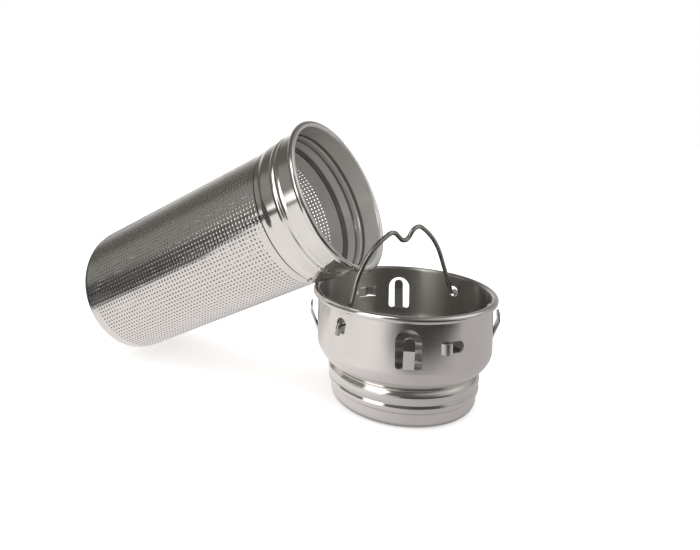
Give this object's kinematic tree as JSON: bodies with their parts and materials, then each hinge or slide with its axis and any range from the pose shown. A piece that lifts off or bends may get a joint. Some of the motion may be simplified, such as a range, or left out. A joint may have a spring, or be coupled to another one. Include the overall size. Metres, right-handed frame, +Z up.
{
  "type": "two-piece tea strainer basket",
  "caption": "Long perforated steel basket leaning on a short beaded cup strainer with a wire bail; the cup's neck seats in the basket's collar.",
  "frame": {"origin": "centre of the underside of the whole arrangement's bounding box, on the floor both pieces stand on", "axes": "+Z up along the cup's axis; -Y is the cup's front, where the first spring tongue is; the cup is on the +X side and the basket leans on it from -X"},
  "size_m": [0.142, 0.072, 0.084],
  "materials": {
    "satin_steel": "satin, fine turning marks round the axis",
    "polished_steel": "polished, slightly wavy",
    "perforated_steel": "polished perforated sheet",
    "steel_wire": "drawn wire, dull bright"
  },
  "bodies": {
    "cup": {"cup_shell": "satin_steel", "cup_filter_disc": "satin_steel"},
    "handle": {"bail_handle": "steel_wire"},
    "basket": {"basket_collar": "polished_steel", "basket_tube": "perforated_steel", "basket_base": "perforated_steel"},
    "tongue_1": {"tongue_front": "satin_steel"},
    "tongue_2": {"tongue_right": "satin_steel"},
    "tongue_3": {"tongue_back": "satin_steel"},
    "tongue_4": {"tongue_left": "satin_steel"}
  },
  "joints": [
    {"name": "handle_swing", "type": "hinge", "parent": "cup", "child": "handle", "pos_m": [0.04204, -0.00702, 0.0269], "axis": [0.6428, 0.766, 0], "range_deg": [0, 60]},
    {"name": "basket_lift", "type": "slide", "parent": "cup", "child": "basket", "axis": [-0.6997, 0.2199, 0.6797], "range_m": [0, 0.09]},
    {"name": "tongue_1_flex", "type": "hinge", "parent": "cup", "child": "tongue_1", "pos_m": [0.04364, -0.03322, 0.01836], "axis": [-0.9981, -0.061, 0], "range_deg": [0, 12], "stiffness_Nm_per_rad": 0.0005},
    {"name": "tongue_2_flex", "type": "hinge", "parent": "cup", "child": "tongue_2", "pos_m": [0.06824, -0.00542, 0.01836], "axis": [0.061, -0.9981, 0], "range_deg": [0, 12], "stiffness_Nm_per_rad": 0.0005},
    {"name": "tongue_3_flex", "type": "hinge", "parent": "cup", "child": "tongue_3", "pos_m": [0.04043, 0.01918, 0.01836], "axis": [0.9981, 0.061, 0], "range_deg": [0, 12], "stiffness_Nm_per_rad": 0.0005},
    {"name": "tongue_4_flex", "type": "hinge", "parent": "cup", "child": "tongue_4", "pos_m": [0.01583, -0.00862, 0.01836], "axis": [-0.061, 0.9981, 0], "range_deg": [0, 12], "stiffness_Nm_per_rad": 0.0005}
  ]
}
